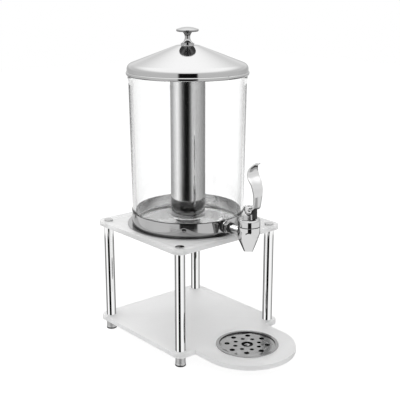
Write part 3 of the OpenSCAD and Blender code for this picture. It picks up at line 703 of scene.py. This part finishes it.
def makePlates():
    sides = plates["holeSides"]
    studs = [(plates["studHole"], sides, x, y) for x, y in cornerPlaces.values()]
    top = squarePlate(plates["topMiddle"])
    drillPlate(top, plates["topMiddle"], studs + [(plates["boltHole"], sides, 0, tankY)])
    finishPiece(top, "topPlate", "frostedTop", "stand", "frosted_acrylic", "top_plate")
    top.visible_diffuse = False  # soft light comes through the acrylic to the plate below
    middle, wide, corner = plates["baseMiddle"], plates["tongue"], plates["corner"]
    low, near = middle - plates["thick"] / 2, plates["width"] / 2
    inner = near - corner
    outline = arcPoints((0, tapY), wide, 180, 360, plates["tongueSteps"]) + [(wide, tankY - near)]
    for step, (x, y) in enumerate(((inner, -inner), (inner, inner), (-inner, inner), (-inner, -inner))):
        centre, end = (x, tankY + y), 90 * step
        outline += arcPoints(centre, corner, end - 90, end, plates["cornerSteps"])
    outline.append((-wide, tankY - near))
    base = drawSlab([(x, y, low) for x, y in outline], (0, 0, plates["thick"]))
    drillPlate(base, middle, studs + [(plates["cupHole"], plates["cupSides"], 0, tapY)])
    finishPiece(base, "basePlate", "frosted", "stand", "frosted_acrylic", "base_plate")
    base.visible_glossy = False  # the legs mirror the studio's cards, not the plate


makePlates()
print("plates made")

# feet, pads and screw caps, one of each turned and copied to the four corners
feet = {"foot": ((0.0033, 0.021), (0.0094, 0.021, 0.0006), (0.0094, 0.0052, 0.0002),
                 (0.010, 0.0050, 0.0003), (0.010, 0.003), (0, 0.003), (0, 0.011), (0.0033, 0.011),
                 (0.0033, 0.021)),
        "pad": ((0, 0.0004), (0.0058, 0.0004), (0.0064, 0), (0.010, 0, 0.0007),
                (0.010, 0.003, 0.0003), (0, 0.003)),
        "cap": ((0, 0.2025), (0.0024, 0.2025), (0.003, 0.2031), (0.003, 0.2275), (0.0085, 0.2275),
                (0.0085, 0.2291, 0.0006), (0.0042, 0.22922), (0.002, 0.22926), (0, 0.22928)),
        "steps": 48}


def makeFeet():
    first = cornerPlaces["front_left"]
    kinds = (("foot", "foot", "grey_metal", "foot_"), ("pad", "rubber", "black_rubber", "pad_"),
             ("cap", "cap", "chrome_plate", "top_screws"))
    for kind, finish, slot, node in kinds:
        pattern = lathe(feet[kind], first, feet["steps"])
        for corner, place in cornerPlaces.items():
            piece = copyTo(pattern, (place[0] - first[0], place[1] - first[1], 0))
            stands = node + corner if kind != "cap" else node
            finishPiece(piece, kind + corner.title().replace("_", ""), finish, "stand", slot, stands)
        bpy.data.objects.remove(pattern)


makeFeet()
print("feet, pads and caps made")

# clear tank
tank = {"profile": ((0.102, 0.2327), (0.107, 0.2327, 0.0018), (0.107, 0.2565), (0.1106, 0.4985, 0.05),
                    (0.1115, 0.5075, 0.02), (0.1115, 0.520, 0.0016), (0.1057, 0.520, 0.0016),
                    (0.102, 0.2565), (0.102, 0.2327)),
        "steps": 180, "outlet": 0.0073, "outletHeight": 0.2445, "drill": (0.08, 0.13)}


def makeTank():
    piece = lathe(tank["profile"], (0, tankY), tank["steps"])
    start, end = ((0, tankY - out, tank["outletHeight"]) for out in tank["drill"])
    carve(piece, addRod(tank["outlet"], start, end))
    finishPiece(piece, "clearTank", "clear", "stand", "clear_plastic", "container")


makeTank()
print("tank made")

# tap body: turned, then planed flat on both sides of the front, then bored
# bores are (radius, from, to): chamber, thread and spout; the shank's hole is measured from the tap's axis
tap = {"profile": ((0, 0.213), (0.0095, 0.213), (0.0205, 0.2375), (0.0205, 0.2589), (0, 0.2589)),
       "faceIn": 0.0072, "faceLean": 19.5, "edge": 0.0003, "edgeAngle": 14,
       "boss": 0.010, "bossEnd": 0.0225, "shankHeight": 0.2445,
       "bores": ((0.0115, 0.2325, 0.28), (0.0155, 0.2517, 0.28), (0.005, 0.2, 0.24)),
       "shankHole": 0.00705, "shankHoleEnds": (0.005, 0.03)}


def makeTapBody():
    body = lathe(tap["profile"], (0, tapY))
    lean = math.radians(tap["faceLean"])
    for side in (-1, 1):
        bpy.ops.object.mode_set(mode="EDIT")
        bpy.ops.mesh.select_all(action="SELECT")
        out = Vector((side * math.sin(math.pi / 4), -math.cos(math.pi / 4), 0))
        start = Vector((0, tapY, tap["profile"][0][1])) + out * tap["faceIn"]
        facing = out * math.cos(lean) - Vector((0, 0, math.sin(lean)))
        bpy.ops.mesh.bisect(plane_co=start, plane_no=facing, use_fill=True, clear_outer=True)
        bpy.ops.object.mode_set(mode="OBJECT")
    height = tap["shankHeight"]
    carve(body, addRod(tap["boss"], (0, tapY, height), (0, tapY + tap["bossEnd"], height)), "UNION")
    easeEdges(body, tap["edge"], sharp=tap["edgeAngle"])
    for radius, low, high in tap["bores"]:
        carve(body, addRod(radius, (0, tapY, low), (0, tapY, high)))
    start, end = ((0, tapY + back, height) for back in tap["shankHoleEnds"])
    carve(body, addRod(tap["shankHole"], start, end))
    finishPiece(body, "tapBody", "plate", "stand", "chrome_plate", "tap_body")


makeTapBody()
print("tap body made")

# drip grid with eased holes: a ring of holes is (ring's radius, hole's radius, first angle)
grid = {"radius": 0.0518, "sides": 144, "low": 0.028, "high": 0.0295, "edge": 0.0003, "eye": 0.011,
        "outer": (0.0375, 0.005, 0), "inner": (0.0235, 0.004, 22.5), "count": 8,
        "drill": (0.02, 0.04), "holeSides": 40}


def makeGrid():
    plate = addRod(grid["radius"], (0, tapY, grid["low"]), (0, tapY, grid["high"]), grid["sides"])
    spots = [(grid["eye"], 0, tapY)]
    for ring, radius, start in (grid["outer"], grid["inner"]):
        for step in range(grid["count"]):
            spots.append((radius, *onCircle((0, tapY), ring, start + 360 / grid["count"] * step)))
    low, high = grid["drill"]
    for radius, x, y in spots:
        carve(plate, addRod(radius, (x, y, low), (x, y, high), grid["holeSides"]))
    easeEdges(plate, grid["edge"], 2)
    finishPiece(plate, "dripGrid", "tray", "grid", "brushed_tray", "drip_grid")


makeGrid()
print("grid made")

# cast lever: the blade is drawn out station by station, then joined with its hub; the heel is its own piece
# low, bend, bulge and curl are arcs of the blade's path, as (radius, degrees)
lever = {"reach": 0.0206, "low": (0.090, -14.5), "bend": (0.007, -80), "root": 0.008,
         "bulge": (0.044, 39), "bulgeHeight": 0.032, "curl": (0.018, 122),
         "bendSteps": 10, "lowSteps": 8, "bulgeSteps": 12, "curlSteps": 18, "across": 6,
         "thick": 0.0026, "crown": 0.0005, "crownShare": 0.22, "edge": 0.0006, "near": 0.0001,
         "neck": 0.0184, "neckHeight": 0.018, "flank": (0.0252, 0.050), "leaf": (0.0284, 0.061, 0.031),
         "tip": 0.0022,
         "hub": ((0, 0.006), (0.0076, 0.006, 0.0012), (0.0080, 0.008, 0.0006), (0.0096, 0.008, 0.0009),
                 (0.0096, 0.0002, 0.004), (0.0078, -0.0056, 0.006), (0.0038, -0.0096), (0, -0.0096)),
         "hubSteps": 80, "bladeCut": 0.0090, "bladeCutEnds": (-0.0005, 0.012),
         "heel": ((0.0099, -0.01388), (0.01385, -0.01350), (0.01703, -0.01243), (0.0173, -0.0104),
                  (0.0170, 0.0085), (0.0099, 0.0060)),
         "heelWide": 0.006, "slot": 0.0066, "slotReach": 0.03, "pull": 24,
         "pin": 0.00125, "pinReach": 0.02, "pinSides": 32}


def leverPlace(forward, up, x=0):
    return Vector((x, tapY - forward, pinZ + up))


def bladePath():
    reach, height = lever["reach"], lever["bulgeHeight"]
    (lowR, lowA), (bendR, rootA) = lever["low"], lever["bend"]
    (bulgeR, turnA), (curlR, curlA) = lever["bulge"], lever["curl"]
    low, bulge = (reach - lowR, height), (reach - bulgeR, height)
    bend = onCircle(low, lowR - bendR, lowA)
    curl = onCircle(bulge, bulgeR + curlR, turnA)
    path = arcPoints(bend, bendR, rootA, lowA, lever["bendSteps"])
    path += arcPoints(low, lowR, lowA, 0, lever["lowSteps"])[1:]
    path += arcPoints(bulge, bulgeR, 0, turnA, lever["bulgeSteps"])[1:]
    path += arcPoints(curl, curlR, 180 + turnA, 180 + turnA - curlA, lever["curlSteps"])[1:]
    angle = math.radians(rootA)
    start = (path[0][0] + lever["root"] * math.sin(angle), path[0][1] - lever["root"] * math.cos(angle))
    return [start] + path


def bladeWidth(up):
    neck, (flank, flankHeight), (leaf, leafHeight, tip) = lever["neck"], lever["flank"], lever["leaf"]
    share = min(max((up - lever["neckHeight"]) / (flankHeight - lever["neckHeight"]), 0), 1)
    straight = neck + (flank - neck) * share * share * (3 - 2 * share)
    curve = (tip ** 2 + (leaf / 2) ** 2) / leaf
    rest = curve ** 2 - (up - leafHeight) ** 2
    leafWidth = 2 * (math.sqrt(rest) - curve + leaf / 2) if rest > 0 else 0
    return max(straight, leafWidth) if up < flankHeight else max(leafWidth, lever["tip"])


def makeBlade():
    path = bladePath()
    first, second = (leverPlace(*point) for point in path[:2])
    along = (second - first).normalized()
    freshStart()
    slope = math.atan2(second.z - first.z, second.y - first.y)
    bpy.ops.mesh.primitive_grid_add(x_subdivisions=lever["across"], y_subdivisions=1, size=1,
                                    location=(first + second) / 2, rotation=(slope, 0, 0))
    bpy.context.object.scale = (bladeWidth(path[0][1]), (second - first).length, 1)
    blade = newPiece()

    def atEnd(edge, place):
        return all((end.co - second).dot(along) > -lever["near"] for end in edge.verts)
    pick(blade, "EDGE", atEnd)
    for here, there in zip(path[1:], path[2:]):
        step = leverPlace(*there) - leverPlace(*here)
        bpy.ops.mesh.extrude_region_move(TRANSFORM_OT_translate={"value": step})
        wider = bladeWidth(there[1]) / bladeWidth(here[1])
        bpy.ops.transform.resize(value=(wider, 1, 1), center_override=leverPlace(*there))
    faceOutwards()
    share = lever["crownShare"]
    pick(blade, "VERT", lambda vertex, place: abs(place.x) < share * bladeWidth(place.z - pinZ))
    bpy.ops.transform.shrink_fatten(value=lever["crown"])
    modify(blade, "SOLIDIFY", thickness=lever["thick"], offset=0, use_even_offset=True)
    easeEdges(blade, lever["edge"])
    return blade


def prism(points, width):
    # a drawing of (forward, up) from the pin, drawn out across the lever
    return drawSlab([leverPlace(*point, -width / 2) for point in points], (width, 0, 0))


def makeLever():
    steps = lever["hubSteps"]
    hub = lathe([(point[0], pinZ + point[1], *point[2:]) for point in lever["hub"]], (0, tapY), steps)
    blade = makeBlade()
    start, end = (leverPlace(0, up) for up in lever["bladeCutEnds"])
    carve(blade, addRod(lever["bladeCut"], start, end, steps))
    heel = prism(lever["heel"], lever["heelWide"])
    easeEdges(heel, lever["edge"], 2)
    # the heel takes the black finish, so that it shows dark under the blade's root
    finishPiece(heel, "leverHeel", "rubber", "lever", "black_rubber", "tap_lever")
    carve(hub, blade, "UNION")
    # slot for the stem's head, wide enough below for the whole pull
    half, reach, pull = lever["slot"] / 2, lever["slotReach"], math.radians(lever["pull"])
    side = Vector((math.cos(pull), math.sin(pull))) * half
    down = Vector((math.sin(pull), -math.cos(pull))) * reach
    front = (half * math.cos(pull), half * math.sin(pull))
    outline = [(-half, 0), (-half, -reach), (half, -reach), tuple(side + down), front, (0, half)]
    carve(hub, prism(outline, lever["slot"]))
    start, end = (leverPlace(0, 0, x) for x in (-lever["pinReach"], lever["pinReach"]))
    carve(hub, addRod(lever["pin"], start, end, lever["pinSides"]))
    finishPiece(hub, "castLever", "plate", "lever", "chrome_plate", "tap_lever")


makeLever()
print("lever made")

# return spring inside the tap
spring = {"radius": 0.0055, "wire": 0.00065, "wireSides": 12, "low": 0.2427, "high": 0.2653,
          "turns": 7, "turnSteps": 28, "fixedEnd": 0.266, "lift": 0.0044}


def makeSpring():
    freshStart()
    bpy.ops.mesh.primitive_circle_add(vertices=spring["wireSides"], radius=spring["wire"],
                                      rotation=(math.pi / 2, 0, 0),
                                      location=(spring["radius"], 0, spring["low"]))
    coil = newPiece()
    steps = spring["turns"] * spring["turnSteps"]
    modify(coil, "SCREW", angle=spring["turns"] * 2 * math.pi, screw_offset=spring["high"] - spring["low"],
           steps=steps, render_steps=steps, axis="Z", use_merge_vertices=False)
    bpy.ops.object.mode_set(mode="EDIT")
    bpy.ops.mesh.select_all(action="DESELECT")
    bpy.ops.mesh.select_mode(type="EDGE")
    bpy.ops.mesh.select_non_manifold()
    bpy.ops.mesh.edge_face_add()
    faceOutwards()
    bpy.ops.transform.translate(value=(0, tapY, 0))
    bpy.ops.object.mode_set(mode="OBJECT")
    finishPiece(coil, "returnSpring", "steel", "stand", "plain_steel", "return_spring")
    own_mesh(coil)


makeSpring()
print("spring made")

# the finish of every solid, also of those that a piece stands for
solidFinishes = {
    "frosted": ["base_plate", "top_plate"],
    "clear": ["container"],
    "mirrorTube": ["leg_" + corner for corner in corners],
    "sheet": ["lid_shell", "lid_rim"],
    "pan": ["pan"],
    "knob": ["lid_knob"],
    "tube": ["ice_tube", "tube_end"],
    "disc": ["base_disc", "tube_boss"],
    "tray": ["drip_cup", "cup_post", "drip_grid"],
    "plate": ["shank", "inner_nut", "tap_body", "tap_lever"],
    "bonnet": ["tap_bonnet"],
    "cap": ["top_screws"],
    "nut": ["shank_collar", "lock_nut"],
    "steel": ["leg_plugs", "foot_studs", "centre_bolt", "centre_washer", "centre_nut", "knob_screw",
              "screw_washer", "valve_stem", "lever_pin", "return_spring"],
    "foot": ["foot_" + corner for corner in corners],
    "rubber": ["pad_" + corner for corner in corners]
              + ["outer_washer", "shank_ring", "joint_seal", "stem_ring"],
    "silicone": ["container_gasket", "boss_seal", "bolt_seal", "lid_gasket", "knob_pad",
                 "inner_washer", "valve_plug"],
}
for finish, members in solidFinishes.items():
    for member in members:
        for materialSlot in nodes[member].material_slots:
            materialSlot.material = finishes[finish]
print("solids dressed")
